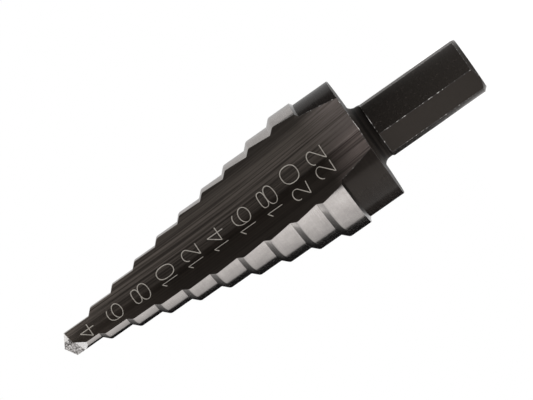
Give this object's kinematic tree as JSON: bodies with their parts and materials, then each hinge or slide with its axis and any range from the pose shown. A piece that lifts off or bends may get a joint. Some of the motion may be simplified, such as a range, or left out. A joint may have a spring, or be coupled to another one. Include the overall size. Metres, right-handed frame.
{
  "type": "step drill",
  "caption": "Single-flute step drill: a stepped cone of ground lands with a V flute and a split point, on a collar, neck and three-flat shank.",
  "frame": {"origin": "centre of the shank's end face, which the drill stands on", "axes": "+Z along the axis from the shank to the point, -Y out of the middle of the flute"},
  "size_m": [0.0218, 0.02, 0.0748],
  "materials": {
    "tool_steel": "black oxide on the flute, collar and shank, bright ground lands and point, size numerals in bare metal"
  },
  "bodies": {
    "root": {"step_drill": "tool_steel"}
  },
  "joints": []
}
